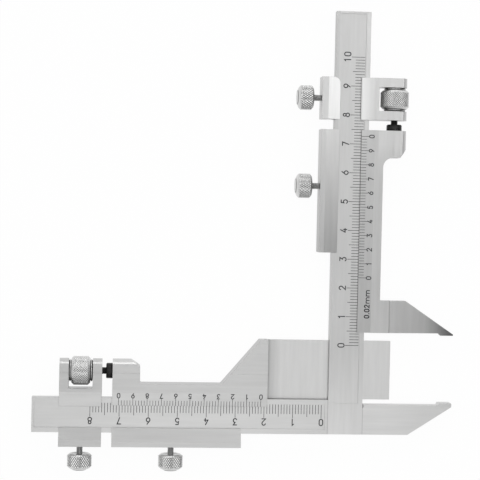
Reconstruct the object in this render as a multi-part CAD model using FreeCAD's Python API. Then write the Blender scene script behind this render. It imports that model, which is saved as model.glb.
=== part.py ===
import FreeCAD, Part
import math
import os
from FreeCAD import Vector

# Gear tooth vernier caliper, in millimetres, lying on its back with +Z up.
# The origin is the centre of the fixed jaw's measuring face, halfway through the beams.
# +X runs along the level addendum beam to the jaw tips, and +Y up the thickness beam.
# The thickness arm measures between the two jaws, and the addendum arm sets the tongue.
# Both arms are drawn in one arm frame: t runs across the beam from its lock screw edge,
# s runs along the beam away from its scale's zero line, and z is up.

# Readings that the caliper is set to
thickness_reading = 23.65
addendum_reading = 21.3

# Beams
beam_width = 12.0
beam_thickness = 3.6
thickness_beam_reach = 135.5
addendum_beam_reach = 145.7
rail_at_lock_side = 1.7
rail_at_vernier_side = 1.6
recess_depth = 0.3
recess_end_land = 0.8
thickness_recess_start = -20.3
addendum_recess_start = -1.2
beam_top_above_face = 0.75
thickness_zero_above_face = 19.8
addendum_zero_gap = 2.35

# Jaws
jaw_reach = 31.5
nib_width = 4.5
nib_edge_radius = 0.3
fixed_face_relief = 0.8
fixed_tip_height = 1.4
fixed_slant_length = 15.4
corner_notch_width = 0.4
corner_notch_depth = 1.0
corner_notch_radius = 0.15
moving_face_relief = 0.8
moving_jaw_height = 12.0
moving_shoulder = 14.2
moving_shoulder_radius = 1.0
moving_jaw_root_radius = 0.5
moving_tip_height = 0.45
moving_tip_thickness = 1.5
moving_jaw_waist = 2.1
jaw_clearance = 0.1
rear_clearance = 0.5

# Sliders and clamps
body_thickness = 6.6
running_clearance = 0.04
lock_side_wall = 4.75
lip_thickness = 0.3
strip_lip = 1.7
slider_lip_edge = 9.45
clamp_lip_edge = 9.0
lip_bevel_end = 14.0
slider_strip_flat = 1.7
clamp_strip_flat = 2.35
waist = 17.05
slider_end = 51.2
boss_length = 9.4
boss_corner_along = 3.2
boss_corner_across = 2.4
end_crown = 1.9
end_beyond_rod = 4.2
face_step_at = 20.6
face_step = 0.2
slider_to_clamp = 3.55
clamp_length = 14.55
fork_window = 8.15
fork_floor = 15.2

# Addendum slider's block and the tongue in it
block_end = 2.25
block_foot = 13.8
block_foot_radius = 1.0
block_top_start = 0.6
tongue_thickness = 1.7
tongue_height = 20.45
tongue_depth_in_block = 9.0
tongue_slot_wall = 1.6
tongue_setback = 0.5
tongue_edge_gap = 0.1
tongue_face_gap = 0.05

# Pins
lap_rivet_radius = 1.25
lap_rivet_into_front = 1.1
lap_rivet_inset = 3.0
tongue_rivet_radius = 1.0
tongue_rivet_into_front = 1.5
tongue_rivet_pitch = 11.0
tongue_rivet_depth = 2.6

# Fine adjustment
rod_at = 21.15
rod_radius = 1.25
rod_into_boss = 6.0
rod_end_below_fork = 0.6
collar_radius = 2.65
collar_length = 2.2
collar_chamfer = 0.3
rod_clearance = 0.03
nut_radius = 5.0
nut_barrel = 6.4
nut_chamfer = 0.8
nut_hub_radius = 3.75
nut_side_clearance = 0.07

# Lock screws and the leaf springs that they press
lock_shank_radius = 1.05
lock_head_radius = 4.3
lock_head_length = 5.6
lock_head_chamfer = 0.7
lock_head_end_bevel = 1.2
lock_head_end_radius = 2.7
lock_head_stand_off = 2.75
lock_hole_clearance = 0.03
lock_tip_gap = 0.05
spring_pocket = 0.9
spring_thickness = 0.35
spring_to_beam = 0.05
spring_height = 3.2
slider_spring_length = 30.0
clamp_spring_length = 11.0

# Sizes that follow from the ones above
half_beam = beam_thickness / 2
half_body = body_thickness / 2
channel_half = half_beam + running_clearance
channel_far_side = beam_width + running_clearance
lip_top = channel_half + lip_thickness
end_at = rod_at + end_beyond_rod
widest = beam_width + jaw_reach
nib_end_x = nib_width / 2
thickness_beam_right = nib_end_x - jaw_reach
thickness_beam_left = thickness_beam_right - beam_width
addendum_beam_top = beam_top_above_face
addendum_beam_bottom = addendum_beam_top - beam_width
addendum_beam_left = nib_end_x - addendum_beam_reach
addendum_zero_x = thickness_beam_left - addendum_zero_gap
tongue_bottom = beam_width + tongue_edge_gap
tongue_top = tongue_bottom + tongue_height
tongue_front = -tongue_face_gap
tongue_back = tongue_front - tongue_thickness
past = 1.0


class Arm:
    """One arm of the caliper: where its frame lies, and the sizes that are its own."""

    def __init__(self, name, origin, turn, reading, strip_end, lock_from_end, boss_fillet, clamp_corner):
        self.name = name
        self.origin = origin
        self.turn = turn
        self.reading = reading
        self.strip_end = strip_end
        self.boss_fillet = boss_fillet
        self.clamp_corner = clamp_corner
        self.slider_far = reading + slider_end
        self.clamp_near = self.slider_far + slider_to_clamp
        self.clamp_far = self.clamp_near + clamp_length
        self.clamp_middle = (self.clamp_near + self.clamp_far) / 2
        self.slider_lock = self.slider_far - lock_from_end

    def place(self, shape):
        """Moves a shape from the arm frame to the caliper's frame."""
        shape.rotate(Vector(0, 0, 0), Vector(0, 0, 1), self.turn)
        shape.translate(self.origin)
        return shape


thickness = Arm(
    name="thickness", origin=Vector(thickness_beam_left, thickness_zero_above_face, 0), turn=0,
    reading=thickness_reading, strip_end=8.6, lock_from_end=19.7, boss_fillet=3.4,
    clamp_corner=2.3)
addendum = Arm(
    name="addendum", origin=Vector(addendum_zero_x, addendum_beam_bottom, 0), turn=90,
    reading=addendum_reading, strip_end=6.65, lock_from_end=20.5, boss_fillet=0.8,
    clamp_corner=0.4)


def box(t0, t1, s0, s1, z0, z1):
    return Part.makeBox(t1 - t0, s1 - s0, z1 - z0, Vector(t0, s0, z0))


def outline(corners):
    """A closed wire in the t, s plane. A corner is (t, s) or (t, s, radius) for a rounded one."""
    edges = []
    ends = []
    count = len(corners)
    for i, corner in enumerate(corners):
        here = Vector(corner[0], corner[1], 0)
        if len(corner) == 2:
            ends.append((here, here))
            continue
        before = Vector(*corners[i - 1][:2], 0)
        after = Vector(*corners[(i + 1) % count][:2], 0)
        back = (before - here).normalize()
        ahead = (after - here).normalize()
        half_angle = back.getAngle(ahead) / 2
        radius = corner[2]
        along = radius / math.tan(half_angle)
        middle = (back + ahead).normalize()
        bulge = radius / math.sin(half_angle) - radius
        start = here + back * along
        stop = here + ahead * along
        edges.append(Part.Arc(start, here + middle * bulge, stop).toShape())
        ends.append((start, stop))
    for i in range(count):
        start = ends[i][1]
        stop = ends[(i + 1) % count][0]
        edges.append(Part.LineSegment(start, stop).toShape())
    return Part.Wire(Part.__sortEdges__(edges))


def plate(corners, z0, z1):
    """A plan outline made solid between two heights."""
    face = Part.Face(outline(corners))
    face.translate(Vector(0, 0, z0))
    return face.extrude(Vector(0, 0, z1 - z0))


def bar(section, s0, s1):
    """A section in the t, z plane made solid along s."""
    points = [Vector(t, s0, z) for t, z in section]
    face = Part.Face(Part.makePolygon(points + points[:1]))
    return face.extrude(Vector(0, s1 - s0, 0))


def turned(profile):
    """A solid of revolution about the X axis. The profile's points are (along, radius)."""
    points = [Vector(along, radius, 0) for along, radius in profile]
    face = Part.Face(Part.makePolygon(points + points[:1]))
    return face.revolve(Vector(0, 0, 0), Vector(1, 0, 0), 360)


def rod_bore(radius, s0, s1):
    return Part.makeCylinder(radius, s1 - s0, Vector(rod_at, s0, 0), Vector(0, 1, 0))


def lock_bore(s):
    radius = lock_shank_radius + lock_hole_clearance
    start = -lock_side_wall - past
    return Part.makeCylinder(radius, past - start, Vector(start, s, 0), Vector(1, 0, 0))


def end_crown_cutter(s0, s1):
    """What is taken off so that the outer end of a boss or fork is crowned about the rod."""
    start = end_at - end_crown
    low = Vector(start, s0, -half_body)
    tip = Vector(end_at, s0, 0)
    high = Vector(start, s0, half_body)
    crown = Part.Face(Part.Wire([Part.Arc(low, tip, high).toShape(), Part.LineSegment(high, low).toShape()]))
    block = box(start, end_at + past, s0, s1, -half_body - past, half_body + past)
    return block.cut(crown.extrude(Vector(0, s1 - s0, 0)))


def cut_runner(body, s0, s1, lip_edge, strip_flat):
    """Cuts the beam's channel, the front window and the two lip bevels out of a slider or clamp."""
    channel = box(-spring_pocket, channel_far_side, s0, s1, -channel_half, channel_half)
    window = box(strip_lip, lip_edge, s0, s1, 0, half_body + past)
    strip_bevel = bar(
        [(-lock_side_wall + strip_flat, half_body), (strip_lip, lip_top), (strip_lip, half_body + past),
         (-lock_side_wall + strip_flat, half_body + past)], s0, s1)
    vernier_bevel = bar(
        [(lip_edge, lip_top), (lip_bevel_end, half_body), (lip_bevel_end, half_body + past),
         (lip_edge, half_body + past)], s0, s1)
    step = box(face_step_at, widest + past, s0, s1, half_body - face_step, half_body + past)
    for cutter in (channel, window, strip_bevel, vernier_bevel, step):
        body = body.cut(cutter)
    return body


def thickness_beam():
    """Upright beam: the front half of the lap, and a rear channel that the tongue runs in."""
    bottom = addendum_beam_bottom - thickness_zero_above_face
    top = thickness_beam_reach - thickness_zero_above_face
    lap_top = addendum_beam_top - thickness_zero_above_face
    channel_top = lap_top + tongue_edge_gap + tongue_height + tongue_edge_gap
    body = box(0, beam_width, bottom, top, -half_beam, half_beam)
    body = body.cut(box(-past, beam_width + past, bottom - past, channel_top, -half_beam - past, 0))
    body = body.cut(scale_recess(thickness_recess_start, top - recess_end_land))
    body = thickness.place(body)
    return body.cut(lap_rivets())


def addendum_beam():
    """Level beam in one piece with the fixed jaw: the rear half of the lap."""
    slant_start = nib_end_x - fixed_slant_length
    notch_end = thickness_beam_right + corner_notch_width
    notch_floor = -fixed_face_relief - corner_notch_depth
    jaw = plate(
        [(addendum_beam_left, addendum_beam_bottom),
         (slant_start, addendum_beam_bottom),
         (nib_end_x, -fixed_tip_height),
         (nib_end_x, 0, nib_edge_radius),
         (nib_end_x - nib_width, 0),
         (nib_end_x - nib_width - fixed_face_relief / 2, -fixed_face_relief),
         (notch_end, -fixed_face_relief),
         (notch_end, notch_floor, corner_notch_radius),
         (thickness_beam_right, notch_floor, corner_notch_radius),
         (thickness_beam_right, addendum_beam_top),
         (addendum_beam_left, addendum_beam_top)],
        -half_beam, half_beam)
    lap_length = addendum_beam_top - addendum_beam_bottom + past + past
    lap_corner = Vector(thickness_beam_left, addendum_beam_bottom - past, 0)
    lap = Part.makeBox(beam_width, lap_length, half_beam + past, lap_corner)
    recess = scale_recess(addendum_recess_start, addendum_zero_x - addendum_beam_left - recess_end_land)
    body = jaw.cut(lap)
    body = body.cut(addendum.place(recess))
    return body.cut(lap_rivets())


def scale_recess(s0, s1):
    """The shallow sunk face that carries a beam's scale, between two rails."""
    far_rail = beam_width - rail_at_vernier_side
    return box(rail_at_lock_side, far_rail, s0, s1, half_beam - recess_depth, half_beam + past)


def lap_rivets():
    """Flush pins from the back through the lap, on three corners of a square."""
    low_x = thickness_beam_left + lap_rivet_inset
    high_x = thickness_beam_right - lap_rivet_inset
    low_y = addendum_beam_bottom + lap_rivet_inset
    high_y = addendum_beam_top - lap_rivet_inset
    pins = []
    for x, y in ((low_x, low_y), (high_x, low_y), (low_x, high_y)):
        base = Vector(x, y, -half_beam)
        pins.append(Part.makeCylinder(lap_rivet_radius, half_beam + lap_rivet_into_front, base))
    return Part.makeCompound(pins)


def thickness_slider():
    """Vernier slider with the moving jaw. Its lower part is cut away behind to pass the tongue."""
    arm = thickness
    zero = arm.reading
    far = arm.slider_far
    boss_start = far - boss_length
    nib_face = zero - thickness_zero_above_face
    face = nib_face + moving_face_relief
    tip = widest
    body = plate(
        [(-lock_side_wall, zero + arm.strip_end),
         (-lock_side_wall, far),
         (end_at, far),
         (end_at, boss_start + boss_corner_along),
         (end_at - boss_corner_across, boss_start),
         (waist, boss_start, arm.boss_fillet),
         (waist, nib_face + moving_jaw_height, moving_jaw_root_radius),
         (beam_width + moving_shoulder, nib_face + moving_jaw_height, moving_shoulder_radius),
         (tip, nib_face + moving_tip_height),
         (tip, nib_face),
         (tip - nib_width, nib_face),
         (tip - nib_width - moving_face_relief, face),
         (slider_lip_edge, face),
         (slider_lip_edge, zero + arm.strip_end)],
        -half_body, half_body)
    body = cut_runner(body, face - past, far + past, slider_lip_edge, slider_strip_flat)
    body = body.cut(end_crown_cutter(boss_start - past, far + past))
    rear_end = nib_face + beam_top_above_face + tongue_edge_gap + tongue_height + rear_clearance
    body = body.cut(box(0, tip + past, face - past, rear_end, -half_body - past, jaw_clearance))
    body = body.cut(moving_jaw_taper(face - past, nib_face + moving_jaw_height + past, tip))
    body = body.cut(rod_bore(rod_radius, far - rod_into_boss, far + past))
    body = body.cut(lock_bore(arm.slider_lock))
    return arm.place(body)


def moving_jaw_taper(s0, s1, tip):
    """Hollow-ground relief on the front of the moving jaw, from the face step to its tip."""
    start = Vector(face_step_at, s0, half_body - face_step)
    waist = Vector((face_step_at + tip) / 2, s0, moving_jaw_waist)
    stop = Vector(tip + past, s0, moving_tip_thickness + jaw_clearance)
    high_stop = Vector(tip + past, s0, half_body + past)
    high_start = Vector(face_step_at, s0, half_body + past)
    edges = [
        Part.Arc(start, waist, stop).toShape(),
        Part.LineSegment(stop, high_stop).toShape(),
        Part.LineSegment(high_stop, high_start).toShape(),
        Part.LineSegment(high_start, start).toShape()]
    return Part.Face(Part.Wire(edges)).extrude(Vector(0, s1 - s0, 0))


def addendum_slider():
    """Vernier slider with the block that holds the tongue in a slot."""
    arm = addendum
    zero = arm.reading
    far = arm.slider_far
    boss_start = far - boss_length
    block_near = zero - block_end
    body = plate(
        [(-lock_side_wall, zero + arm.strip_end),
         (-lock_side_wall, far),
         (end_at, far),
         (end_at, boss_start + boss_corner_along),
         (end_at - boss_corner_across, boss_start),
         (waist, boss_start, arm.boss_fillet),
         (waist, zero + block_foot, block_foot_radius),
         (tongue_top, zero + block_top_start),
         (tongue_top, block_near),
         (slider_lip_edge, block_near),
         (slider_lip_edge, zero + arm.strip_end)],
        -half_body, half_body)
    body = cut_runner(body, block_near - past, far + past, slider_lip_edge, slider_strip_flat)
    body = body.cut(end_crown_cutter(boss_start - past, far + past))
    body = body.cut(rod_bore(rod_radius, far - rod_into_boss, far + past))
    body = body.cut(lock_bore(arm.slider_lock))
    body = body.cut(tongue_plate(beam_width, block_near - past))
    return arm.place(body).cut(tongue_rivets())


def tongue():
    """Flat plate whose square end rests on the top of the tooth."""
    tip = addendum.reading - (nib_end_x - tongue_setback - addendum_zero_x)
    body = tongue_plate(tongue_bottom, tip)
    return addendum.place(body).cut(tongue_rivets())


def tongue_plate(bottom, tip):
    """The tongue's outline, which the block's slot shares. Its inner corner follows the block's slant."""
    zero = addendum.reading
    inner = zero - block_end + tongue_depth_in_block
    slant_foot = zero + block_foot - tongue_slot_wall
    slant_top = zero + block_top_start - tongue_slot_wall
    slope = (tongue_top - waist) / (slant_foot - slant_top)
    corner = waist + (slant_foot - inner) * slope
    return plate(
        [(bottom, tip), (bottom, inner), (corner, inner), (tongue_top, slant_top), (tongue_top, tip)],
        tongue_back, tongue_front)


def tongue_rivets():
    """Blind pins from the back of the block through the tongue."""
    s = addendum.reading - block_end + tongue_rivet_depth
    middle = (tongue_bottom + tongue_top) / 2
    pins = []
    for t in (middle - tongue_rivet_pitch / 2, middle + tongue_rivet_pitch / 2):
        base = Vector(t, s, -half_body)
        pins.append(Part.makeCylinder(tongue_rivet_radius, half_body + tongue_rivet_into_front, base))
    return addendum.place(Part.makeCompound(pins))


def clamp(arm):
    """Fine-adjusting clamp: the same channel as the slider, and a fork for the nut."""
    near = arm.clamp_near
    far = arm.clamp_far
    body = box(-lock_side_wall, end_at, near, far, -half_body, half_body)
    body = cut_runner(body, near - past, far + past, clamp_lip_edge, clamp_strip_flat)
    body = body.cut(strip_corner_cutter(arm.clamp_corner, far))
    body = body.cut(end_crown_cutter(near - past, far + past))
    window_near = arm.clamp_middle - fork_window / 2
    window_far = arm.clamp_middle + fork_window / 2
    fork = box(fork_floor, end_at + past, window_near, window_far, -half_body - past, half_body + past)
    body = body.cut(fork)
    body = body.cut(rod_bore(rod_radius + rod_clearance, near - past, far + past))
    body = body.cut(lock_bore(arm.clamp_middle))
    return arm.place(body)


def strip_corner_cutter(radius, far):
    """What is taken off so that the clamp's front strip has a rounded inner corner."""
    centre_t = strip_lip - radius
    centre_s = far - radius
    top = half_body + past
    corner = box(centre_t, strip_lip + past, centre_s, far + past, 0, top)
    return corner.cut(Part.makeCylinder(radius, top + past, Vector(centre_t, centre_s, -past)))


def along_rod(arm, shape, s):
    """Lays a turned shape along the rod, with its start at s."""
    shape.rotate(Vector(0, 0, 0), Vector(0, 0, 1), 90)
    shape.translate(Vector(rod_at, s, 0))
    return arm.place(shape)


def adjusting_screw(arm):
    """Rod screwed into the slider's boss up to its collar, and running through the fork."""
    start = -rod_into_boss
    stop = slider_to_clamp + clamp_length - rod_end_below_fork
    profile = [
        (start, 0), (start, rod_radius), (0, rod_radius), (0, collar_radius),
        (collar_length - collar_chamfer, collar_radius), (collar_length, collar_radius - collar_chamfer),
        (collar_length, rod_radius), (stop, rod_radius), (stop, 0)]
    return along_rod(arm, turned(profile), arm.slider_far)


def adjusting_nut(arm):
    """Knurled nut on the rod, held endways by the fork."""
    length = fork_window - 2 * nut_side_clearance
    hub = (length - nut_barrel) / 2
    bore = rod_radius + rod_clearance
    profile = [
        (0, bore), (0, nut_hub_radius), (hub, nut_hub_radius), (hub, nut_radius - nut_chamfer),
        (hub + nut_chamfer, nut_radius), (length - hub - nut_chamfer, nut_radius),
        (length - hub, nut_radius - nut_chamfer), (length - hub, nut_hub_radius),
        (length, nut_hub_radius), (length, bore)]
    return along_rod(arm, turned(profile), arm.clamp_middle - length / 2)


def lock_screw(arm, s):
    """Knurled thumb screw across the wall, with its tip just short of the leaf spring."""
    tip = -spring_to_beam - spring_thickness - lock_tip_gap
    head_near = -lock_side_wall - lock_head_stand_off
    head_far = head_near - lock_head_length
    profile = [
        (head_far, 0), (head_far, lock_head_end_radius), (head_far + lock_head_end_bevel, lock_head_radius),
        (head_near - lock_head_chamfer, lock_head_radius), (head_near, lock_head_radius - lock_head_chamfer),
        (head_near, lock_shank_radius), (tip, lock_shank_radius), (tip, 0)]
    body = turned(profile)
    body.translate(Vector(0, s, 0))
    return arm.place(body)


def leaf_spring(arm, s, length):
    """Bowed leaf: its ends bear on the wall of the channel, and its middle on the beam's edge."""
    ends = -spring_pocket
    middle = -spring_to_beam - spring_thickness
    low = s - length / 2
    high = s + length / 2
    thick = Vector(spring_thickness, 0, 0)
    wall_low = Vector(ends, low, -spring_height / 2)
    wall_middle = Vector(middle, s, -spring_height / 2)
    wall_high = Vector(ends, high, -spring_height / 2)
    edges = [
        Part.Arc(wall_low, wall_middle, wall_high).toShape(),
        Part.LineSegment(wall_high, wall_high + thick).toShape(),
        Part.Arc(wall_high + thick, wall_middle + thick, wall_low + thick).toShape(),
        Part.LineSegment(wall_low + thick, wall_low).toShape()]
    body = Part.Face(Part.Wire(edges)).extrude(Vector(0, 0, spring_height))
    return arm.place(body)


parts = {
    "thickness_beam": thickness_beam(),
    "addendum_beam": addendum_beam(),
    "lap_rivets": lap_rivets(),
    "thickness_slider": thickness_slider(),
    "addendum_slider": addendum_slider(),
    "tongue": tongue(),
    "tongue_rivets": tongue_rivets(),
}
for arm in (thickness, addendum):
    parts[arm.name + "_slider_spring"] = leaf_spring(arm, arm.slider_lock, slider_spring_length)
    parts[arm.name + "_slider_lock_screw"] = lock_screw(arm, arm.slider_lock)
    parts[arm.name + "_clamp"] = clamp(arm)
    parts[arm.name + "_clamp_spring"] = leaf_spring(arm, arm.clamp_middle, clamp_spring_length)
    parts[arm.name + "_clamp_lock_screw"] = lock_screw(arm, arm.clamp_middle)
    parts[arm.name + "_adjusting_screw"] = adjusting_screw(arm)
    parts[arm.name + "_adjusting_nut"] = adjusting_nut(arm)

os.makedirs("parts", exist_ok=True)
for name, shape in parts.items():
    shape.exportStep("parts/" + name + ".step")
    print(name, "solids", len(shape.Solids), "volume", round(shape.Volume, 2), "valid", shape.isValid())
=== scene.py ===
import math

import bmesh
import bpy
from mathutils import Euler, Matrix, Vector

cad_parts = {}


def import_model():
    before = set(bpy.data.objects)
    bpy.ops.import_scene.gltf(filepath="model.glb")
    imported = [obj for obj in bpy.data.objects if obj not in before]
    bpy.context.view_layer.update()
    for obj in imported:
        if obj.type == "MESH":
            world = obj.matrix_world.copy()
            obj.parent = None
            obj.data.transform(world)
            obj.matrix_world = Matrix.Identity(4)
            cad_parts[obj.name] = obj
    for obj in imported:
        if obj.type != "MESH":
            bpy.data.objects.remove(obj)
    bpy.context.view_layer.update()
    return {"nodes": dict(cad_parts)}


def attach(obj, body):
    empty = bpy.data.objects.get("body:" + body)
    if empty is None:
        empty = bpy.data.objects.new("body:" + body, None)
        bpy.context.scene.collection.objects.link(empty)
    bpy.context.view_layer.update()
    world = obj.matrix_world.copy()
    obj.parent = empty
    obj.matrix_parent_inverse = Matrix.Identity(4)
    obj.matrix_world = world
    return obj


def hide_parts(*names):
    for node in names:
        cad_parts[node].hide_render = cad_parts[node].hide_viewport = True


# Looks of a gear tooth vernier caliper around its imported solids. The caliper's sizes are in
# millimetres, and MM turns them into metres. The floor's size, the lamps and the camera are in
# metres. Each arm has its own frame, as in the solids' source: t runs across the beam from its lock
# screw edge, s along the beam from the scale's zero line.

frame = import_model()
MM = 0.001

# Each arm's frame, its reading, its longest scale mark, and where its fittings stand along s
ARMS = {
    "thickness": {
        "origin": (-41.25, 19.8), "turn": 0.0, "reading": 23.65, "longest_scale": 100,
        "slider_lock": 55.15, "clamp_middle": 85.675, "slider_far": 74.85},
    "addendum": {
        "origin": (-43.6, -11.25), "turn": 90.0, "reading": 21.3, "longest_scale": 80,
        "slider_lock": 52.0, "clamp_middle": 83.325, "slider_far": 72.5},
}

# The rod's place across the beam, and the thickness of the wall that the lock screws go through
ROD_AT = 21.15
WALL = 4.75

# Scales
SCALE_FACE_Z = 1.5
TICK_WIDTH = 0.18
TICK_FOOT = 10.2
TICK_ONE = 6.9
TICK_FIVE = 5.95
TICK_TEN = 5.5
NUMERAL_LOW = 5.15
NUMERAL_HEIGHT = 2.2
NUMERAL_STROKE = 0.36
INLAY_RISE = 0.006
INLAY_LIFT = 0.003
INLAY_DEPTH = 0.04
SAME_PLACE = 0.000001
SHARPEST_CORNER = 0.5

# Verniers
LIP_EDGE = 9.45
LIP_TOP_Z = 2.14
LIP_BEVEL_END = 14.0
BODY_TOP_Z = 3.3
VERNIER_DIVISIONS = 50
VERNIER_STEP = 0.98
VERNIER_SHORT = 11.3
VERNIER_LONG = 12.1
VERNIER_NUMERAL_LOW = 13.85
VERNIER_NUMERAL_HEIGHT = 1.65
VERNIER_STROKE = 0.31
VERNIER_TICK_WIDTH = 0.16
DIVISION_AT = 12.0
DIVISION_UNIT_AT = 17.1
DIVISION_LOW = 13.45
DIVISION_HEIGHT = 1.6
DIVISION_STROKE = 0.38
DIVISION_UNIT_STROKE = 0.3

# Lock screws
LOCK_SHANK_RADIUS = 1.1
LOCK_THREAD_PITCH = 0.4
LOCK_HEAD_RADIUS = 4.3
LOCK_HEAD_LENGTH = 5.6
LOCK_CHAMFER = 0.7
LOCK_EDGE = 0.15
LOCK_DOME = 1.4
LOCK_END_STEP = 0.3
# The end's outline: distance from the end face, and radius
LOCK_END = [(0.0, 2.35), (LOCK_END_STEP, 2.6), (0.36, 3.05), (0.65, 3.55), (1.0, 3.95)]
LOCK_RING_DEPTH = 0.35
LOCK_RING_RADIUS = 2.75
LOCK_RING_SLANT = 0.15
LOCK_CORE_RADIUS = 0.9
LOCK_SHANK_OVERLAP = 0.1
LOCK_STAND_OFF = 2.75
LOCK_TIP = -0.45
LOCK_KNURLS = 32
LOCK_KNURL_ROWS = 3
LOCK_KNURL_DEPTH = 0.18

# Nuts and the screws that they run on
NUT_RADIUS = 5.0
NUT_BARREL = 6.4
NUT_LENGTH = 8.01
NUT_CHAMFER = 0.8
NUT_HUB_RADIUS = 3.75
NUT_HUB_EDGE = 0.3
NUT_BORE = 1.28
NUT_NECK = 0.22
NUT_NECK_DEPTH = 0.3
NUT_KNURLS = 38
NUT_KNURL_ROWS = 6
NUT_KNURL_DEPTH = 0.13
ROD_RADIUS = 1.22
ROD_THREAD_PITCH = 0.45
COLLAR_RADIUS = 2.65
COLLAR_LENGTH = 2.2
COLLAR_CHAMFER = 0.3
COLLAR_BORE = 1.0
COLLAR_STEPS = 48
ROD_START = -6.0
ROD_STOP = 17.5
THREAD_DEPTH = 0.14
THREAD_STEPS = 24
THREAD_ROWS_PER_PITCH = 6
SHARP_ANGLE = 35

# Finishes. The grains of the metals are given by how many fit in a metre, across and along them
FINE_ACROSS = 16000.0
FINE_ALONG = 500.0
SOFT_ACROSS = 700.0
SOFT_ALONG = 45.0
EVEN_FINE = (4000.0, 4000.0, 4000.0)
EVEN_SOFT = (300.0, 300.0, 300.0)
SPECKLE = (9000.0, 9000.0, 9000.0)
FINE_DETAIL = 4.0
SOFT_DETAIL = 3.0
SPECKLE_DETAIL = 2.0
NOISE_ROUGHNESS = 0.6
NOISE_LOW = 0.3
NOISE_HIGH = 0.7
GLOSS_SPREAD = 0.05
RELIEF_DEPTH = 0.02
EDGE_BREAK = 0.12
BEAM_EDGE_BREAK = 0.05
BEVEL_SAMPLES = 6
STEEL_TINT = (1.0, 1.0, 0.995)
BRONZE_TINT = (1.0, 0.78, 0.48)
PAINT_LOW = (0.012, 0.012, 0.014)
PAINT_HIGH = (0.035, 0.035, 0.038)
PAINT_ROUGHNESS = 0.7

# A layer of the mesh is 1 at the bottoms of a knurl's grooves and 0 elsewhere. The painted shade in the
# grooves starts at the first of these values and is full at the second.
GROOVE_LAYER = "groove"
GROOVE_SHADE_START = 0.55
GROOVE_SHADE_FULL = 1.0

# Tones of the ground steel, piece by piece
STEEL_TONES = {
    "thickness_beam": 0.51, "thickness_slider": 0.48, "thickness_clamp": 0.56,
    "addendum_beam": 0.56, "addendum_slider": 0.505, "addendum_clamp": 0.48, "tongue": 0.56,
}

# Limits that keep the painted light and shade off the backs, in millimetres
FRONT_OF_BODY = ("Z", -3.0, 6.0)
FRONT_OF_BEAM = ("Z", -1.5, 6.0)

# Painted light and shade: where a piece's tone changes along it, to paint highlights on bevels and crowns
# and shadows at steps, edges and the jaw's tip: an axis, places with their share of the tone, and limits
PAINTED_LIGHT_FADES = {
    # Painted shadow at the jaw's step, a painted highlight beyond it that darkens towards the jaw's tip,
    # and painted light along the strip and on the boss
    "thickness_slider": [
        ("X", [(-21.05, 1.0), (-20.95, 0.72), (-20.75, 0.72), (-20.65, 1.0)], ("Y", 0.0, 60.0)),
        ("X", [(-20.66, 1.0), (-20.65, 1.24), (-8.0, 0.98), (1.0, 0.28)], ("Y", 0.0, 60.0)),
        ("Y", [(56.0, 0.86), (94.5, 1.12)], ("X", -46.5, -36.0), FRONT_OF_BODY),
        ("Y", [(84.0, 1.0), (90.0, 1.12)], ("X", -26.0, -14.0), FRONT_OF_BODY)],
    # Painted light towards the beam's lower end, painted shade along its left edge and painted light along
    # its right
    "thickness_beam": [
        ("Y", [(-9.0, 1.2), (18.0, 1.0)], FRONT_OF_BEAM),
        ("X", [(-40.2, 0.94), (-40.0, 1.0)], ("Y", 60.0, 136.0), FRONT_OF_BEAM),
        ("X", [(-30.6, 1.0), (-30.4, 1.08)], ("Y", 60.0, 136.0), FRONT_OF_BEAM)],
    # Painted highlights on the clamp's two bevels
    "thickness_clamp": [
        ("X", [(-43.8, 1.0), (-43.7, 1.25), (-38.4, 1.25), (-38.3, 1.0)], FRONT_OF_BODY),
        ("X", [(-31.9, 1.0), (-31.8, 1.25), (-27.3, 0.98)], FRONT_OF_BODY)],
    # Painted light towards the fixed jaw, and painted shadows along the thickness beam's edges where it
    # crosses
    "addendum_beam": [
        ("X", [(-40.0, 1.0), (-22.0, 1.14)]),
        ("X", [(-41.5, 1.0), (-41.45, 0.74), (-41.2, 0.74), (-41.15, 1.0)], FRONT_OF_BEAM),
        ("X", [(-29.35, 1.0), (-29.3, 0.74), (-29.05, 0.74), (-29.0, 1.0)], FRONT_OF_BEAM)],
    # Painted highlights on the outer ends of the slider's boss and the clamp's fork
    "addendum_slider": [
        ("Y", [(12.6, 1.0), (13.0, 1.28)], ("X", -119.0, -107.0), FRONT_OF_BODY)],
    "addendum_clamp": [("Y", [(12.6, 1.0), (13.0, 1.2)], FRONT_OF_BODY)],
    # Painted shadow beside the block's edge, and painted light towards the tongue's tip
    "tongue": [
        ("X", [(-62.65, 0.5), (-61.6, 0.8), (-58.0, 1.0)], FRONT_OF_BEAM),
        ("X", [(-50.0, 1.0), (-30.0, 1.08)])],
}


def arm_matrix(arm):
    """Arm frame in millimetres to the caliper's frame in metres."""
    x, y = arm["origin"]
    place = Matrix.Translation((x * MM, y * MM, 0))
    return place @ Matrix.Rotation(math.radians(arm["turn"]), 4, "Z") @ Matrix.Scale(MM, 4)


# Materials

def new_material(name):
    """A material with its node tree and its shader."""
    material = bpy.data.materials.new(name)
    material.use_nodes = True
    return material, material.node_tree, material.node_tree.nodes["Principled BSDF"]


def add(tree, kind, **values):
    """A node with its plain attributes, and its input sockets by name."""
    node = tree.nodes.new(kind)
    for key, value in values.items():
        if hasattr(node, key):
            setattr(node, key, value)
        else:
            node.inputs[key.replace("_", " ")].default_value = value
    return node


def stretched_noise(tree, scale, detail):
    """Noise fixed to the piece. scale is how many grains fit in a metre along each of its axes."""
    place = add(tree, "ShaderNodeTexCoord")
    mapping = add(tree, "ShaderNodeMapping", Scale=scale)
    tree.links.new(place.outputs["Object"], mapping.inputs["Vector"])
    noise = add(tree, "ShaderNodeTexNoise", Scale=1.0, Detail=detail, Roughness=NOISE_ROUGHNESS)
    tree.links.new(mapping.outputs["Vector"], noise.inputs["Vector"])
    return noise.outputs["Fac"]


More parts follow.
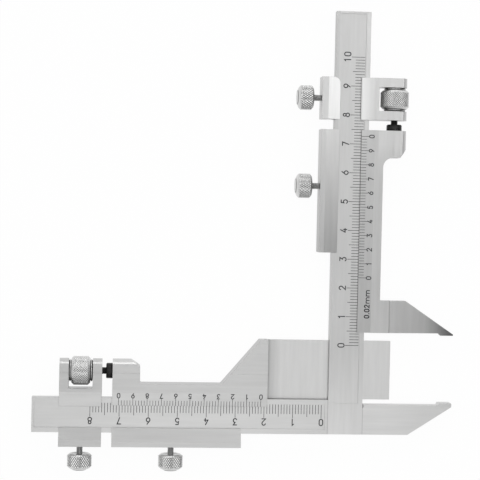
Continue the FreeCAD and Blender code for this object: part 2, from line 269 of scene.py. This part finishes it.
def ramp(tree, source, low, high):
    """Turns a noise into a colour between two ends."""
    node = add(tree, "ShaderNodeValToRGB")
    node.color_ramp.elements[0].position = NOISE_LOW
    node.color_ramp.elements[1].position = NOISE_HIGH
    node.color_ramp.elements[0].color = (*low, 1)
    node.color_ramp.elements[1].color = (*high, 1)
    tree.links.new(source, node.inputs["Fac"])
    return node.outputs["Color"]


def faded(tree, source, axis, stops, *limits):
    """Scales a colour by shares at places along one axis of the piece, within limits on others, which
    paints light and shade into the tone.
    """
    place = add(tree, "ShaderNodeTexCoord")
    split = add(tree, "ShaderNodeSeparateXYZ")
    tree.links.new(place.outputs["Object"], split.inputs["Vector"])
    first, last = stops[0][0], stops[-1][0]
    along = add(tree, "ShaderNodeMapRange")
    along.inputs["From Min"].default_value = first * MM
    along.inputs["From Max"].default_value = last * MM
    tree.links.new(split.outputs[axis], along.inputs["Value"])
    shares = add(tree, "ShaderNodeValToRGB")
    elements = shares.color_ramp.elements
    while len(elements) < len(stops):
        elements.new(0.5)
    for element, (at, share) in zip(elements, stops):
        element.position = (at - first) / (last - first)
        element.color = (share, share, share, 1)
    tree.links.new(along.outputs["Result"], shares.inputs["Fac"])
    scaled = add(tree, "ShaderNodeVectorMath", operation="MULTIPLY")
    tree.links.new(source, scaled.inputs[0])
    tree.links.new(shares.outputs["Color"], scaled.inputs[1])
    result = scaled.outputs["Vector"]
    for other, start, stop in limits:
        inside = add(tree, "ShaderNodeMath", operation="COMPARE")
        inside.inputs[1].default_value = (start + stop) / 2 * MM
        inside.inputs[2].default_value = (stop - start) / 2 * MM
        tree.links.new(split.outputs[other], inside.inputs[0])
        result = mixed(tree, inside.outputs["Value"], source, result)
    return result


def mixed(tree, share, first, second):
    """A mix of two colours, given as sockets."""
    node = add(tree, "ShaderNodeMix", data_type="RGBA")
    tree.links.new(share, node.inputs["Factor"])
    first_colour, second_colour = [socket for socket in node.inputs if socket.type == "RGBA"]
    tree.links.new(first, first_colour)
    tree.links.new(second, second_colour)
    return next(socket for socket in node.outputs if socket.type == "RGBA")


def metal(name, tone, spread, roughness, bump, fine_grain=EVEN_FINE, soft_grain=EVEN_SOFT,
          tint=STEEL_TINT, painted_groove_shade=None, edge_break=0.0, painted_fades=()):
    """Metal with a fine grain in its relief and gloss, and a soft grain in its tone.

    With a painted groove shade, the bottoms of a knurl's grooves are painted that dark, as shade. An edge
    break in millimetres rounds the shading at the edges. The painted light and shade are entries of an
    axis and its stops (place, share): the tone is scaled by a share that runs from stop to stop along the
    piece's own axis, in millimetres. An entry may end with limits (axis, start, stop) outside which it has
    no effect.
    """
    material, tree, shader = new_material(name)
    shader.inputs["Metallic"].default_value = 1.0
    fine = stretched_noise(tree, fine_grain, FINE_DETAIL)
    soft = stretched_noise(tree, soft_grain, SOFT_DETAIL)
    low, high = [tuple((tone + change) * share for share in tint) for change in (-spread, spread)]
    source = ramp(tree, soft, low, high)
    # Painted shade: the bottoms of a knurl's grooves are darkened, as shade in the grooves
    if painted_groove_shade is not None:
        depth = add(tree, "ShaderNodeAttribute", attribute_name=GROOVE_LAYER)
        groove_shade_share = add(tree, "ShaderNodeMapRange", interpolation_type="SMOOTHSTEP")
        groove_shade_share.inputs["From Min"].default_value = GROOVE_SHADE_START
        groove_shade_share.inputs["From Max"].default_value = GROOVE_SHADE_FULL
        tree.links.new(depth.outputs["Fac"], groove_shade_share.inputs["Value"])
        painted_groove_shade_colour = add(tree, "ShaderNodeRGB")
        painted_groove_shade_colour.outputs["Color"].default_value = (painted_groove_shade, painted_groove_shade, painted_groove_shade, 1)
        source = mixed(tree, groove_shade_share.outputs["Result"], source, painted_groove_shade_colour.outputs["Color"])
    # Painted light and shade along the piece
    for light_fade in painted_fades:
        source = faded(tree, source, *light_fade)
    tree.links.new(source, shader.inputs["Base Color"])
    rough = add(tree, "ShaderNodeMapRange")
    rough.inputs["From Min"].default_value = NOISE_LOW
    rough.inputs["From Max"].default_value = NOISE_HIGH
    rough.inputs["To Min"].default_value = roughness - GLOSS_SPREAD
    rough.inputs["To Max"].default_value = roughness + GLOSS_SPREAD
    tree.links.new(fine, rough.inputs["Value"])
    tree.links.new(rough.outputs["Result"], shader.inputs["Roughness"])
    relief = add(tree, "ShaderNodeBump", Strength=bump, Distance=RELIEF_DEPTH * MM)
    tree.links.new(fine, relief.inputs["Height"])
    if edge_break:
        worn_edge = add(tree, "ShaderNodeBevel", samples=BEVEL_SAMPLES, Radius=edge_break * MM)
        tree.links.new(worn_edge.outputs["Normal"], relief.inputs["Normal"])
    tree.links.new(relief.outputs["Normal"], shader.inputs["Normal"])
    return material


def satin(node):
    """Ground steel whose grain runs along the arm that the piece belongs to."""
    fine = (FINE_ACROSS, FINE_ALONG, FINE_ACROSS)
    soft = (SOFT_ACROSS, SOFT_ALONG, SOFT_ACROSS)
    if node.startswith("addendum"):
        fine = (FINE_ALONG, FINE_ACROSS, FINE_ACROSS)
        soft = (SOFT_ALONG, SOFT_ACROSS, SOFT_ACROSS)
    edge_break = BEAM_EDGE_BREAK if node.endswith("beam") else EDGE_BREAK
    return metal("satin_steel_" + node, tone=STEEL_TONES[node], spread=0.02, roughness=0.36, bump=0.25,
                 fine_grain=fine, soft_grain=soft, edge_break=edge_break, painted_fades=PAINTED_LIGHT_FADES[node])


ground = {node: satin(node) for node in STEEL_TONES}
# The knurls get painted shade at the bottoms of their grooves
knurled_steel = metal("knurled_steel", tone=0.86, spread=0.01, roughness=0.38, bump=0.2, painted_groove_shade=0.08)
nut_steel = metal("nut_steel", tone=0.95, spread=0.01, roughness=0.38, bump=0.2, painted_groove_shade=0.20)
turned_steel = metal("turned_steel", tone=0.66, spread=0.03, roughness=0.34, bump=0.2)
bronze = metal("spring_bronze", tone=0.5, spread=0.02, roughness=0.35, bump=0.2, tint=BRONZE_TINT)
# Black oxide on the threaded rod; on the nuts the same black paints shadows
black_steel = metal("black_steel", tone=0.035, spread=0.01, roughness=0.42, bump=0.3)
# Painted reflection: a darker copy of the turned steel, for the lock screws' shanks and a ring at their
# ends
painted_shade_steel = metal("painted_shade_steel", tone=0.38, spread=0.03, roughness=0.45, bump=0.3)


def paint():
    """The dark filling of the engraved lines."""
    material, tree, shader = new_material("line_filling")
    speckle = stretched_noise(tree, SPECKLE, SPECKLE_DETAIL)
    tree.links.new(ramp(tree, speckle, PAINT_LOW, PAINT_HIGH), shader.inputs["Base Color"])
    shader.inputs["Roughness"].default_value = PAINT_ROUGHNESS
    return material


line_filling = paint()


# Mesh helpers

def finished(name, bm, materials, body, matrix, replaced=()):
    """Makes a piece of a bmesh in millimetres, and puts it on its body."""
    bm.transform(matrix)
    bmesh.ops.recalc_face_normals(bm, faces=bm.faces)
    mesh = bpy.data.meshes.new(name)
    bm.to_mesh(mesh)
    bm.free()
    for material in materials:
        mesh.materials.append(material)
    piece = bpy.data.objects.new(name, mesh)
    bpy.context.scene.collection.objects.link(piece)
    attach(piece, body)
    if replaced:
        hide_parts(*replaced)


def lay_on_scale(point):
    """Lays a drawing's point (t, s, height) on the beam's scale."""
    t, s, height = point
    return Vector((t, s, SCALE_FACE_Z + height))


LIP_TILT = math.atan2(BODY_TOP_Z - LIP_TOP_Z, LIP_BEVEL_END - LIP_EDGE)
LIP_SLOPE_END = LIP_EDGE + (LIP_BEVEL_END - LIP_EDGE) / math.cos(LIP_TILT)


def lay_on_lip(point):
    """Lays a drawing's point on the vernier: up the lip's slope, and then on the body's flat top."""
    t, s, height = point
    if t > LIP_SLOPE_END:
        return Vector((LIP_BEVEL_END + t - LIP_SLOPE_END, s, BODY_TOP_Z + height))
    along = t - LIP_EDGE
    return Vector((
        LIP_EDGE + along * math.cos(LIP_TILT) - height * math.sin(LIP_TILT),
        s,
        LIP_TOP_Z + along * math.sin(LIP_TILT) + height * math.cos(LIP_TILT)))


def prism(bm, points, lay):
    """A closed inlay whose plan is a convex outline of (t, s) points."""
    top = [bm.verts.new(lay((t, s, INLAY_RISE))) for t, s in points]
    low = [bm.verts.new(lay((t, s, -INLAY_DEPTH))) for t, s in points]
    bm.faces.new(top)
    bm.faces.new(low[::-1])
    for i in range(len(points)):
        j = (i + 1) % len(points)
        bm.faces.new((top[i], low[i], low[j], top[j]))


def tick(bm, t0, t1, s, width, lay):
    """A straight mark across the scale, from t0 to t1."""
    half = width / 2
    prism(bm, [(t0, s - half), (t1, s - half), (t1, s + half), (t0, s + half)], lay)


def stroke(bm, points, width, lay, layer):
    """A closed ribbon along a line of points, with its ends blunted. A closed line has no ends.

    Its top rises by a hair from start to end and from layer to layer, so tops that cross don't coincide.
    """
    closed = (Vector(points[0]) - Vector(points[-1])).length < SAME_PLACE
    line = [Vector(p) for p in (points[:-1] if closed else points)]
    count = len(line)
    halves = [width / 2] * count
    if not closed:
        first = (line[0] - line[1]).normalized()
        last = (line[-1] - line[-2]).normalized()
        line = [line[0] + first * width / 2] + line + [line[-1] + last * width / 2]
        blunt_end = width / 5
        halves = [blunt_end] + halves + [blunt_end]
        count += 2
    sides = []
    for i in range(count):
        before = line[i - 1] if closed or i > 0 else line[i]
        after = line[(i + 1) % count] if closed or i < count - 1 else line[i]
        ahead = (after - line[i]).normalized() if (after - line[i]).length else Vector((0, 0))
        back = (line[i] - before).normalized() if (line[i] - before).length else Vector((0, 0))
        way = (ahead + back).normalized()
        reach = halves[i]
        if ahead.length and back.length:
            reach /= max(SHARPEST_CORNER, way.dot(ahead))
        side = Vector((-way.y, way.x)) * reach
        rise = INLAY_RISE + INLAY_LIFT * (layer + i / count)
        ring = []
        for at, height in (
                (line[i] + side, rise), (line[i] - side, rise),
                (line[i] - side, -INLAY_DEPTH), (line[i] + side, -INLAY_DEPTH)):
            ring.append(bm.verts.new(lay((at.x, at.y, height))))
        sides.append(ring)
    for i in range(count if closed else count - 1):
        here, there = sides[i], sides[(i + 1) % count]
        for k in range(4):
            m = (k + 1) % 4
            bm.faces.new((here[k], here[m], there[m], there[k]))
    if not closed:
        bm.faces.new(sides[0][::-1])
        bm.faces.new(sides[-1])


def arc(x, y, rx, ry, start, stop, steps=10):
    """Points on an ellipse's arc, by angles in degrees."""
    points = []
    for i in range(steps + 1):
        angle = math.radians(start + (stop - start) * i / steps)
        points.append((x + rx * math.cos(angle), y + ry * math.sin(angle)))
    return points


# Lines of the numbers and letters, with their height as 1, and their widths
GLYPH_WIDTH = 0.62
OTHER_WIDTHS = {".": 0.16, "m": 1.26}
LETTER_GAP = 0.28
SIX = [[(0.47, 1.0), (0.16, 0.56), *arc(0.31, 0.31, 0.28, 0.31, 150, 510, 18)]]
NINE = [[(GLYPH_WIDTH - x, 1.0 - y) for x, y in SIX[0]]]
GLYPHS = {
    "0": [arc(0.31, 0.69, 0.28, 0.31, 0, 180) + arc(0.31, 0.31, 0.28, 0.31, 180, 360) + [(0.59, 0.69)]],
    "1": [[(0.14, 0.80), (0.34, 1.0), (0.34, 0.0)]],
    "2": [arc(0.31, 0.71, 0.27, 0.29, 165, -35) + [(0.03, 0.0), (0.60, 0.0)]],
    "3": [[(0.06, 1.0), (0.56, 1.0), (0.30, 0.60), *arc(0.29, 0.30, 0.28, 0.30, 80, -150, 12)]],
    "4": [[(0.40, 1.0), (0.03, 0.27), (0.60, 0.27)], [(0.44, 0.50), (0.44, 0.0)]],
    "5": [[(0.54, 1.0), (0.14, 1.0), (0.09, 0.55), *arc(0.29, 0.32, 0.28, 0.32, 120, -150, 12)]],
    "6": SIX,
    "7": [[(0.04, 1.0), (0.58, 1.0), (0.22, 0.0)]],
    "8": [arc(0.31, 0.77, 0.21, 0.23, 0, 360, 16), arc(0.31, 0.28, 0.28, 0.28, 0, 360, 16)],
    "9": NINE,
    ".": [[(0.08, 0.0), (0.08, 0.04)]],
    "m": [[(0.04, 0.0), (0.04, 0.70)],
          arc(0.335, 0.46, 0.295, 0.22, 180, 0, 6) + [(0.63, 0.0)],
          arc(0.925, 0.46, 0.295, 0.22, 180, 0, 6) + [(1.22, 0.0)]],
}


def write(bm, text, low_t, middle_s, height, width, lay):
    """Writes text that reads along s, with its tops towards lower t."""
    total = sum(OTHER_WIDTHS.get(letter, GLYPH_WIDTH) for letter in text) + LETTER_GAP * (len(text) - 1)
    at = -total / 2
    for letter in text:
        for layer, line in enumerate(GLYPHS[letter]):
            points = []
            for x, y in line:
                points.append((low_t - y * height, middle_s + (at + x) * height))
            stroke(bm, points, width, lay, layer)
        at += OTHER_WIDTHS.get(letter, GLYPH_WIDTH) + LETTER_GAP


# Scales and verniers

def beam_scale(name, arm):
    """Millimetre marks and centimetre numbers."""
    bm = bmesh.new()
    for mm in range(arm["longest_scale"] + 1):
        start = TICK_TEN if mm % 10 == 0 else TICK_FIVE if mm % 5 == 0 else TICK_ONE
        tick(bm, start, TICK_FOOT, mm, TICK_WIDTH, lay_on_scale)
    for cm in range(arm["longest_scale"] // 10 + 1):
        write(bm, str(cm), NUMERAL_LOW, cm * 10, NUMERAL_HEIGHT, NUMERAL_STROKE, lay_on_scale)
    finished(name + "_scale", bm, [line_filling], "frame", arm_matrix(arm))


def vernier(name, arm):
    """The vernier's marks and numbers, and the note of its division on the thickness arm."""
    bm = bmesh.new()
    for i in range(VERNIER_DIVISIONS + 1):
        s = arm["reading"] + i * VERNIER_STEP
        stop = VERNIER_LONG if i % 5 == 0 else VERNIER_SHORT
        tick(bm, LIP_EDGE, stop, s, VERNIER_TICK_WIDTH, lay_on_lip)
        if i % 5 == 0:
            number = str(i // 5 % 10)
            write(bm, number, VERNIER_NUMERAL_LOW, s, VERNIER_NUMERAL_HEIGHT, VERNIER_STROKE, lay_on_lip)
    if name == "thickness":
        write(bm, "0.02", DIVISION_LOW, DIVISION_AT, DIVISION_HEIGHT, DIVISION_STROKE, lay_on_lip)
        write(bm, "mm", DIVISION_LOW, DIVISION_UNIT_AT, DIVISION_HEIGHT, DIVISION_UNIT_STROKE, lay_on_lip)
    finished(name + "_vernier", bm, [line_filling], name + "_slider_group", arm_matrix(arm))


for name, arm in ARMS.items():
    beam_scale(name, arm)
    vernier(name, arm)


# Turned pieces

def lathe(bm, rings, count):
    """A turned skin along X. A ring is (along, radius), and a radius may be a function of the step."""
    groove = bm.verts.layers.float.get(GROOVE_LAYER) or bm.verts.layers.float.new(GROOVE_LAYER)
    loops = []
    for along, radius in rings:
        loop = []
        for j in range(count):
            angle = 2 * math.pi * j / count
            r = radius(j) if callable(radius) else radius
            vert = bm.verts.new((along, r * math.cos(angle), r * math.sin(angle)))
            vert[groove] = 1.0 if callable(radius) and r < radius(j + 1) else 0.0
            loop.append(vert)
        loops.append(loop)
    for k in range(len(loops) - 1):
        knurled = callable(rings[k][1]) or callable(rings[k + 1][1])
        both = callable(rings[k][1]) and callable(rings[k + 1][1])
        for j in range(count):
            a, b = loops[k][j], loops[k][(j + 1) % count]
            c, d = loops[k + 1][(j + 1) % count], loops[k + 1][j]
            if both and rings[k][1](j) > rings[k + 1][1](j):
                faces = [bm.faces.new((a, b, d)), bm.faces.new((b, c, d))]
            elif both:
                faces = [bm.faces.new((a, b, c)), bm.faces.new((a, c, d))]
            else:
                faces = [bm.faces.new((a, b, c, d))]
            for face in faces:
                face.smooth = not knurled
    return loops


def cap(bm, loop, along):
    """Closes a ring with a fan."""
    middle = bm.verts.new((along, 0, 0))
    count = len(loop)
    for j in range(count):
        bm.faces.new((loop[j], loop[(j + 1) % count], middle))


def line_bore(bm, loops):
    """Closes a turned piece through its bore, from its last ring back to its first."""
    last, first = loops[-1], loops[0]
    count = len(last)
    for j in range(count):
        face = bm.faces.new((last[j], last[(j + 1) % count], first[(j + 1) % count], first[j]))
        face.smooth = True


def sharpen(bm):
    """Marks the edges that shading mustn't smooth."""
    for edge in bm.edges:
        if len(edge.link_faces) == 2 and edge.calc_face_angle(0) > math.radians(SHARP_ANGLE):
            edge.smooth = False


def knurl_rings(start, stop, rows, radius, depth):
    """Rings whose points alternate between crest and groove, which makes a diamond knurl."""
    rings = []
    for k in range(2 * rows + 1):
        along = start + (stop - start) * k / (2 * rows)

        def at(j, k=k):
            return radius if (j + k) % 2 else radius - depth
        rings.append((along, at))
    return rings


def thread_rings(start, stop, radius, pitch, count):
    """Rings of a screw thread: the radius falls and rises once for each pitch, round a helix."""
    rows = round((stop - start) / pitch * THREAD_ROWS_PER_PITCH)
    rings = []
    for k in range(rows + 1):
        along = start + (stop - start) * k / rows

        def at(j, along=along):
            phase = (along / pitch - j / count) % 1.0
            return radius - THREAD_DEPTH * abs(2 * phase - 1)
        rings.append((along, at))
    return rings


def threaded(bm, start, stop, radius, pitch):
    """A closed threaded rod along X."""
    count = THREAD_STEPS
    loops = []
    for along, at in thread_rings(start, stop, radius, pitch, count):
        loop = []
        for j in range(count):
            angle = 2 * math.pi * j / count
            loop.append(bm.verts.new((along, at(j) * math.cos(angle), at(j) * math.sin(angle))))
        loops.append(loop)
    for k in range(len(loops) - 1):
        for j in range(count):
            face = bm.faces.new((loops[k][j], loops[k][(j + 1) % count],
                                 loops[k + 1][(j + 1) % count], loops[k + 1][j]))
            face.smooth = True
    cap(bm, loops[0], start)
    cap(bm, loops[-1], stop)


# Places in a knurled piece's list of materials: first its knurl, and then these
TURNED = 1
PAINTED_SHADE = 2


def paint_faces(bm, first_face, index):
    """Gives a material index to every face made since first_face."""
    bm.faces.ensure_lookup_table()
    for i in range(first_face, len(bm.faces)):
        bm.faces[i].material_index = index


def paint_between(bm, start, stop, index):
    """Gives a material index to the faces whose middle lies between two places along X."""
    for face in bm.faces:
        if start < face.calc_center_median().x < stop:
            face.material_index = index


def lock_screw(name, arm, s, body, node):
    """Thumb screw: knurled head with a bevelled end, and a threaded shank into the wall. A ring at the end
    and the shank are painted darker, as a dark reflection.
    """
    bm = bmesh.new()
    near = -WALL - LOCK_STAND_OFF
    far = near - LOCK_HEAD_LENGTH
    rim = LOCK_HEAD_RADIUS - LOCK_CHAMFER
    start = far + LOCK_DOME
    stop = near - LOCK_CHAMFER
    rings = [(far + along, radius) for along, radius in LOCK_END]
    rings += knurl_rings(start, stop, LOCK_KNURL_ROWS, LOCK_HEAD_RADIUS, LOCK_KNURL_DEPTH)
    floor_of_ring = near - LOCK_RING_DEPTH
    rings += [(near - LOCK_EDGE, rim), (near, rim - LOCK_EDGE), (near, LOCK_RING_RADIUS),
              (floor_of_ring, LOCK_RING_RADIUS - LOCK_RING_SLANT), (floor_of_ring, LOCK_CORE_RADIUS)]
    loops = lathe(bm, rings, 2 * LOCK_KNURLS)
    cap(bm, loops[0], far)
    cap(bm, loops[-1], floor_of_ring)
    sharpen(bm)
    paint_between(bm, far - 1, start, TURNED)
    paint_between(bm, stop, near + 1, TURNED)
    # Painted reflection: a ring at the end and the shank are painted darker
    paint_between(bm, far + LOCK_END_STEP / 4, far + LOCK_END_STEP, PAINTED_SHADE)
    made = len(bm.faces)
    threaded(bm, floor_of_ring - LOCK_SHANK_OVERLAP, LOCK_TIP, LOCK_SHANK_RADIUS, LOCK_THREAD_PITCH)
    paint_faces(bm, made, PAINTED_SHADE)
    bm.transform(Matrix.Translation((0, s, 0)))
    materials = [knurled_steel, turned_steel, painted_shade_steel]
    finished(name, bm, materials, body, arm_matrix(arm), [node])


def on_rod(arm, s):
    """Lays a piece turned about X along the arm's rod, with its zero at s."""
    return arm_matrix(arm) @ Matrix.Translation((ROD_AT, s, 0)) @ Matrix.Rotation(math.pi / 2, 4, "Z")


def adjusting_nut(name, arm, body, node):
    """Knurled barrel with a neck and a plain hub at either end, and a bore for the rod. The necks and the
    hubs' outer edges are painted black, as shadows in the gaps beside them.
    """
    bm = bmesh.new()
    count = 2 * NUT_KNURLS
    half = NUT_LENGTH / 2
    barrel = NUT_BARREL / 2
    neck = NUT_HUB_RADIUS - NUT_NECK_DEPTH
    rings = [(-half, NUT_BORE), (-half, NUT_HUB_RADIUS - NUT_HUB_EDGE),
             (-half + NUT_HUB_EDGE, NUT_HUB_RADIUS), (-barrel - NUT_NECK, NUT_HUB_RADIUS),
             (-barrel - NUT_NECK, neck), (-barrel, neck), (-barrel, NUT_RADIUS - NUT_CHAMFER)]
    rings += knurl_rings(-barrel + NUT_CHAMFER, barrel - NUT_CHAMFER, NUT_KNURL_ROWS, NUT_RADIUS,
                         NUT_KNURL_DEPTH)
    rings += [(barrel, NUT_RADIUS - NUT_CHAMFER), (barrel, neck), (barrel + NUT_NECK, neck),
              (barrel + NUT_NECK, NUT_HUB_RADIUS), (half - NUT_HUB_EDGE, NUT_HUB_RADIUS),
              (half, NUT_HUB_RADIUS - NUT_HUB_EDGE), (half, NUT_BORE)]
    loops = lathe(bm, rings, count)
    line_bore(bm, loops)
    sharpen(bm)
    paint_between(bm, -half - 1, -barrel + NUT_CHAMFER, TURNED)
    paint_between(bm, barrel - NUT_CHAMFER, half + 1, TURNED)
    # Painted shadow: the hubs' outer edges and the necks are painted black
    for end, inner in ((half, half - NUT_HUB_EDGE), (barrel + NUT_NECK, barrel)):
        paint_between(bm, inner, end, PAINTED_SHADE)
        paint_between(bm, -end, -inner, PAINTED_SHADE)
    materials = [nut_steel, turned_steel, black_steel]
    finished(name, bm, materials, body, on_rod(arm, arm["clamp_middle"]), [node])


def adjusting_screw(name, arm, body, node):
    """Threaded rod with its collar, which stands against the slider's boss."""
    bm = bmesh.new()
    loops = lathe(bm, [
        (0.0, COLLAR_BORE), (0.0, COLLAR_RADIUS - COLLAR_CHAMFER / 2), (COLLAR_CHAMFER / 2, COLLAR_RADIUS),
        (COLLAR_LENGTH - COLLAR_CHAMFER, COLLAR_RADIUS), (COLLAR_LENGTH, COLLAR_RADIUS - COLLAR_CHAMFER),
        (COLLAR_LENGTH, COLLAR_BORE)], COLLAR_STEPS)
    line_bore(bm, loops)
    sharpen(bm)
    threaded(bm, ROD_START, ROD_STOP, ROD_RADIUS, ROD_THREAD_PITCH)
    finished(name, bm, [black_steel], body, on_rod(arm, arm["slider_far"]), [node])


for name, arm in ARMS.items():
    lock_screw(name + "_slider_thumb_screw", arm, arm["slider_lock"], name + "_slider_lock",
               name + "_slider_lock_screw")
    lock_screw(name + "_clamp_thumb_screw", arm, arm["clamp_middle"], name + "_clamp_lock",
               name + "_clamp_lock_screw")
    adjusting_nut(name + "_knurled_nut", arm, name + "_nut", name + "_adjusting_nut")
    adjusting_screw(name + "_threaded_rod", arm, name + "_slider_group", name + "_adjusting_screw")


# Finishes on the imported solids

FINISHES = {
    **ground,
    "lap_rivets": ground["thickness_beam"], "tongue_rivets": ground["addendum_slider"],
    "thickness_slider_spring": bronze, "thickness_clamp_spring": bronze,
    "addendum_slider_spring": bronze, "addendum_clamp_spring": bronze,
}
for node, material in FINISHES.items():
    mesh = frame["nodes"][node].data
    mesh.materials.clear()
    mesh.materials.append(material)


# Floor, light and camera

# The caliper rests on a nut, a thumb screw's head and the fixed jaw's tip
REST_POINTS = [Vector((-20.0, 103.07, -5.0)), Vector((-95.4, -23.15, -4.3)), Vector((2.25, -1.4, -1.8))]
FLOOR_SIZE = 6.0
FLOOR_TONE = 0.95
FLOOR_ROUGHNESS = 0.9
FLOOR_SPECULAR = 0.1
FLOOR_GLOW_SHARE = 0.96
WORLD_STRENGTH = 0.30
WHITE = (1.0, 1.0, 1.0, 1.0)


def floor():
    """A white floor that the caliper rests on. A part of it takes the lamps' light, for the shadow."""
    up = (REST_POINTS[1] - REST_POINTS[0]).cross(REST_POINTS[2] - REST_POINTS[0]).normalized()
    bpy.ops.mesh.primitive_plane_add(size=FLOOR_SIZE)
    plane = bpy.context.active_object
    plane.name = "floor"
    lean = Vector((0, 0, 1)).rotation_difference(up).to_matrix().to_4x4()
    plane.matrix_world = Matrix.Translation(REST_POINTS[2] * MM) @ lean
    material, tree, shader = new_material("pale_floor")
    shader.inputs["Base Color"].default_value = (FLOOR_TONE, FLOOR_TONE, FLOOR_TONE, 1)
    shader.inputs["Roughness"].default_value = FLOOR_ROUGHNESS
    shader.inputs["Specular IOR Level"].default_value = FLOOR_SPECULAR
    glow = add(tree, "ShaderNodeEmission", Strength=1.0)
    glow.inputs["Color"].default_value = WHITE
    ray = add(tree, "ShaderNodeLightPath")
    seen = add(tree, "ShaderNodeMath", operation="MAXIMUM")
    seen_more = add(tree, "ShaderNodeMath", operation="MAXIMUM")
    tree.links.new(ray.outputs["Is Camera Ray"], seen.inputs[0])
    tree.links.new(ray.outputs["Is Glossy Ray"], seen.inputs[1])
    tree.links.new(seen.outputs[0], seen_more.inputs[0])
    tree.links.new(ray.outputs["Is Transmission Ray"], seen_more.inputs[1])
    share = add(tree, "ShaderNodeMath", operation="MULTIPLY")
    share.inputs[1].default_value = FLOOR_GLOW_SHARE
    tree.links.new(seen_more.outputs[0], share.inputs[0])
    mix = add(tree, "ShaderNodeMixShader")
    tree.links.new(share.outputs[0], mix.inputs[0])
    tree.links.new(shader.outputs[0], mix.inputs[1])
    tree.links.new(glow.outputs[0], mix.inputs[2])
    tree.links.new(mix.outputs[0], tree.nodes["Material Output"].inputs["Surface"])
    plane.data.materials.append(material)


floor()


def world():
    """An even light from all round."""
    scene_world = bpy.data.worlds.new("studio")
    bpy.context.scene.world = scene_world
    scene_world.use_nodes = True
    back = scene_world.node_tree.nodes["Background"]
    back.inputs["Color"].default_value = WHITE
    back.inputs["Strength"].default_value = WORLD_STRENGTH


world()


def lamp(name, place, aim, size, radiance):
    """A rectangular softbox. Its power gives the radiance that it shows in a reflection."""
    light = bpy.data.lights.new(name, "AREA")
    light.shape = "RECTANGLE"
    light.size, light.size_y = size
    light.energy = radiance * math.pi * size[0] * size[1]
    lamp_object = bpy.data.objects.new(name, light)
    lamp_object.location = place
    lamp_object.rotation_euler = (Vector(aim) - Vector(place)).to_track_quat("-Z", "Y").to_euler()
    bpy.context.scene.collection.objects.link(lamp_object)


LAMP_HEIGHT = 0.9


def overhead(name, x0, x1, y0, y1, radiance):
    """A softbox that lies level above the table, given by its edges."""
    middle = ((x0 + x1) / 2, (y0 + y1) / 2)
    lamp(name, (*middle, LAMP_HEIGHT), (*middle, 0.0), (x1 - x0, y1 - y0), radiance)


# Softboxes of the ceiling: their edges x0, x1, y0, y1, and their radiance
CEILING = {
    "front_softbox": (-0.60, 0.24, -1.00, -0.34, 1.25),
    "near_softbox": (-0.28, 0.02, -0.34, -0.03, 0.95),
    "near_right_softbox": (0.02, 0.18, -0.34, -0.03, 1.20),
    "middle_softbox": (-0.28, 0.18, -0.03, 0.13, 0.90),
    "far_softbox": (-0.28, 0.02, 0.13, 0.60, 0.30),
    "far_left_softbox": (-0.70, -0.28, 0.13, 0.60, 2.20),
    "far_right_softbox": (0.02, 0.24, 0.13, 0.60, 1.70),
    "right_softbox": (0.36, 1.00, 0.10, 0.60, 2.20),
}
for name, values in CEILING.items():
    overhead(name, *values)

# Softboxes beside the table: place, aim, size and radiance
SIDES = {
    "back_softbox": ((-0.10, 1.3, 0.5), (-0.10, 0.0, 0.0), (1.6, 0.7), 2.0),
    "left_softbox": ((-1.4, 0.05, 0.5), (-0.10, 0.05, 0.0), (1.4, 0.7), 0.9),
    "low_front_softbox": ((-0.10, -1.3, 0.5), (-0.10, 0.0, 0.0), (1.6, 0.7), 0.45),
}
for name, values in SIDES.items():
    lamp(name, *values)

# The camera looks down from over the middle of the caliper. Its turns are in degrees.
CAMERA_PLACE = (-0.1162, 0.0691, 0.5)
CAMERA_TURN = (-1.535, -4.927, 1.111)
CAMERA_LENS = 108.86
SENSOR_WIDTH = 36.0
CLIP_START = 0.01

camera = bpy.data.objects.new("camera", bpy.data.cameras.new("camera"))
camera.location = CAMERA_PLACE
camera.rotation_mode = "ZYX"
camera.rotation_euler = Euler([math.radians(angle) for angle in CAMERA_TURN], "ZYX")
camera.data.lens = CAMERA_LENS
camera.data.sensor_width = SENSOR_WIDTH
camera.data.clip_start = CLIP_START
bpy.context.scene.collection.objects.link(camera)
bpy.context.scene.camera = camera

bpy.context.scene.view_settings.view_transform = "Standard"
